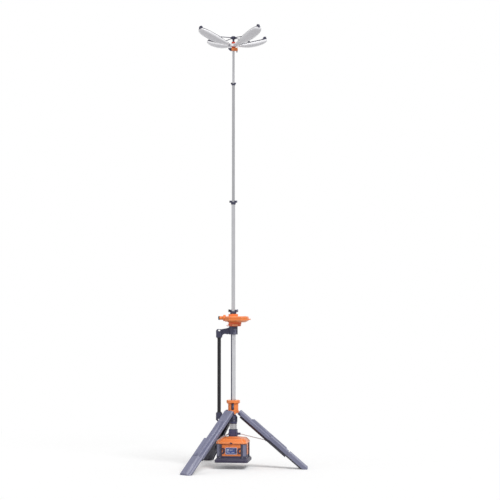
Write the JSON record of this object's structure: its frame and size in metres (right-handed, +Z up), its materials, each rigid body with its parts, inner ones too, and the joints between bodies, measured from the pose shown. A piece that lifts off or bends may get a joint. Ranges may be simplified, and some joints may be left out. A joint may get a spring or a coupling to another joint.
{
  "type": "mobile light tower",
  "caption": "Mobile light tower: an orange power pack hung in a folding tripod, a telescopic mast and a lamp head of opening petals.",
  "frame": {"origin": "on the mast's axis at ground level, under the power pack", "axes": "+Z up along the mast, +X along leg 1, the handle bar towards -X, the pack's panel faces -Y"},
  "size_m": [1.2221, 1.4024, 4.5887],
  "materials": {
    "orange_plastic": "satin",
    "slate_enamel": "satin",
    "navy_plastic": "matte",
    "black_plastic": "matte",
    "black_enamel": "satin",
    "satin_aluminium": "satin",
    "stay_steel": "satin",
    "lamp_shell": "satin",
    "panel_frame": "satin"
  },
  "bodies": {
    "base": {"pack_base_plate": "navy_plastic", "pack_body": "orange_plastic", "pack_lid": "orange_plastic", "pack_corner_posts": "navy_plastic", "control_panel": "panel_frame", "pack_latches": "black_plastic", "mount_block": "navy_plastic", "column_sleeve": "satin_aluminium", "column_coupling": "navy_plastic", "lower_bracket": "navy_plastic", "upper_bracket": "navy_plastic", "handle_bar": "black_enamel", "mast_tube_1": "satin_aluminium", "reel_drum": "orange_plastic", "reel_housing": "orange_plastic", "reel_socket": "orange_plastic", "mast_clamp_1": "navy_plastic"},
    "left_knob": {"clamp_knob_left": "black_plastic"},
    "right_knob": {"clamp_knob_right": "slate_enamel"},
    "hub": {"leg_hub": "orange_plastic", "hub_latch": "navy_plastic", "hub_pins": "stay_steel"},
    "leg_1": {"leg_1_channel": "slate_enamel", "leg_1_extension": "slate_enamel", "leg_1_foot": "slate_enamel"},
    "stay_1": {"leg_1_stay": "stay_steel"},
    "leg_2": {"leg_2_channel": "slate_enamel", "leg_2_extension": "slate_enamel", "leg_2_foot": "slate_enamel"},
    "stay_2": {"leg_2_stay": "stay_steel"},
    "leg_3": {"leg_3_channel": "slate_enamel", "leg_3_extension": "slate_enamel", "leg_3_foot": "slate_enamel"},
    "stay_3": {"leg_3_stay": "stay_steel"},
    "mast_2": {"mast_tube_2": "satin_aluminium", "mast_clamp_2": "navy_plastic"},
    "mast_3": {"mast_tube_3": "satin_aluminium", "mast_clamp_3": "navy_plastic"},
    "mast_4": {"mast_tube_4": "satin_aluminium", "head_hub": "orange_plastic", "petal_forks": "lamp_shell", "head_gusset": "navy_plastic", "head_knob": "black_plastic"},
    "post": {"head_post": "navy_plastic"},
    "petal_1": {"petal_1_shell": "lamp_shell", "petal_1_frame": "navy_plastic"},
    "strut_1": {"petal_1_strut": "navy_plastic"},
    "petal_2": {"petal_2_shell": "lamp_shell", "petal_2_frame": "navy_plastic"},
    "strut_2": {"petal_2_strut": "navy_plastic"},
    "petal_3": {"petal_3_shell": "lamp_shell", "petal_3_frame": "navy_plastic"},
    "strut_3": {"petal_3_strut": "navy_plastic"},
    "petal_4": {"petal_4_shell": "lamp_shell", "petal_4_frame": "navy_plastic"},
    "strut_4": {"petal_4_strut": "navy_plastic"}
  },
  "joints": [
    {"name": "hub_slide", "type": "slide", "parent": "base", "child": "hub", "axis": [0, 0, -1], "range_m": [-0.677, 0]},
    {"name": "leg_1_hinge", "type": "hinge", "parent": "hub", "child": "leg_1", "pos_m": [0.072, 0, 0.562], "axis": [0, -1, 0], "range_deg": [-43.92, 0]},
    {"name": "leg_2_hinge", "type": "hinge", "parent": "hub", "child": "leg_2", "pos_m": [-0.036, 0.06235, 0.562], "axis": [0.866, 0.5, 0], "range_deg": [-43.92, 0]},
    {"name": "leg_3_hinge", "type": "hinge", "parent": "hub", "child": "leg_3", "pos_m": [-0.036, -0.06235, 0.562], "axis": [-0.866, 0.5, 0], "range_deg": [-43.92, 0]},
    {"name": "stay_1_pivot", "type": "hinge", "parent": "leg_1", "child": "stay_1", "pos_m": [0.34527, 0, 0.28915], "axis": [0, -1, 0], "range_deg": [-36.06, 0]},
    {"name": "stay_2_pivot", "type": "hinge", "parent": "leg_2", "child": "stay_2", "pos_m": [-0.17264, 0.29901, 0.28915], "axis": [0.866, 0.5, 0], "range_deg": [-36.06, 0]},
    {"name": "stay_3_pivot", "type": "hinge", "parent": "leg_3", "child": "stay_3", "pos_m": [-0.17264, -0.29901, 0.28915], "axis": [-0.866, 0.5, 0], "range_deg": [-36.06, 0]},
    {"name": "mast_2_slide", "type": "slide", "parent": "base", "child": "mast_2", "axis": [0, 0, 1], "range_m": [-1.09, 0]},
    {"name": "mast_3_slide", "type": "slide", "parent": "mast_2", "child": "mast_3", "axis": [0, 0, 1], "range_m": [-1.208, 0]},
    {"name": "mast_4_slide", "type": "slide", "parent": "mast_3", "child": "mast_4", "axis": [0, 0, 1], "range_m": [-0.327, 0]},
    {"name": "petal_post_slide", "type": "slide", "parent": "mast_4", "child": "post", "axis": [0, 0, -1], "range_m": [-0.268, 0]},
    {"name": "petal_1_hinge", "type": "hinge", "parent": "mast_4", "child": "petal_1", "pos_m": [0.03182, -0.03182, 4.441], "axis": [0.7071, 0.7071, 0], "range_deg": [-69, 0]},
    {"name": "petal_2_hinge", "type": "hinge", "parent": "mast_4", "child": "petal_2", "pos_m": [0.03182, 0.03182, 4.441], "axis": [-0.7071, 0.7071, 0], "range_deg": [-69, 0]},
    {"name": "petal_3_hinge", "type": "hinge", "parent": "mast_4", "child": "petal_3", "pos_m": [-0.03182, 0.03182, 4.441], "axis": [-0.7071, -0.7071, 0], "range_deg": [-69, 0]},
    {"name": "petal_4_hinge", "type": "hinge", "parent": "mast_4", "child": "petal_4", "pos_m": [-0.03182, -0.03182, 4.441], "axis": [0.7071, -0.7071, 0], "range_deg": [-69, 0]},
    {"name": "strut_1_pivot", "type": "hinge", "parent": "petal_1", "child": "strut_1", "pos_m": [0.14523, -0.14523, 4.50468], "axis": [-0.7071, -0.7071, 0], "range_deg": [-152.8, 0]},
    {"name": "strut_2_pivot", "type": "hinge", "parent": "petal_2", "child": "strut_2", "pos_m": [0.14523, 0.14523, 4.50468], "axis": [0.7071, -0.7071, 0], "range_deg": [-152.8, 0]},
    {"name": "strut_3_pivot", "type": "hinge", "parent": "petal_3", "child": "strut_3", "pos_m": [-0.14523, 0.14523, 4.50468], "axis": [0.7071, 0.7071, 0], "range_deg": [-152.8, 0]},
    {"name": "strut_4_pivot", "type": "hinge", "parent": "petal_4", "child": "strut_4", "pos_m": [-0.14523, -0.14523, 4.50468], "axis": [-0.7071, 0.7071, 0], "range_deg": [-152.8, 0]},
    {"name": "left_knob_turn", "type": "hinge", "parent": "base", "child": "left_knob", "pos_m": [-0.0355, 0, 1.63248], "axis": [-1, 0, 0], "continuous": true},
    {"name": "right_knob_turn", "type": "hinge", "parent": "base", "child": "right_knob", "pos_m": [0.0355, 0, 1.63248], "axis": [1, 0, 0], "continuous": true}
  ],
  "couplings": [
    {"joint": "leg_1_hinge", "follows": "hub_slide", "rad_per_m": 1.1321},
    {"joint": "leg_2_hinge", "follows": "hub_slide", "rad_per_m": 1.1321},
    {"joint": "leg_3_hinge", "follows": "hub_slide", "rad_per_m": 1.1321},
    {"joint": "stay_1_pivot", "follows": "hub_slide", "rad_per_m": 0.92962},
    {"joint": "stay_2_pivot", "follows": "hub_slide", "rad_per_m": 0.92962},
    {"joint": "stay_3_pivot", "follows": "hub_slide", "rad_per_m": 0.92962},
    {"joint": "petal_1_hinge", "follows": "petal_post_slide", "rad_per_m": 4.4934},
    {"joint": "petal_2_hinge", "follows": "petal_post_slide", "rad_per_m": 4.4934},
    {"joint": "petal_3_hinge", "follows": "petal_post_slide", "rad_per_m": 4.4934},
    {"joint": "petal_4_hinge", "follows": "petal_post_slide", "rad_per_m": 4.4934},
    {"joint": "strut_1_pivot", "follows": "petal_post_slide", "rad_per_m": 9.9508},
    {"joint": "strut_2_pivot", "follows": "petal_post_slide", "rad_per_m": 9.9508},
    {"joint": "strut_3_pivot", "follows": "petal_post_slide", "rad_per_m": 9.9508},
    {"joint": "strut_4_pivot", "follows": "petal_post_slide", "rad_per_m": 9.9508}
  ]
}
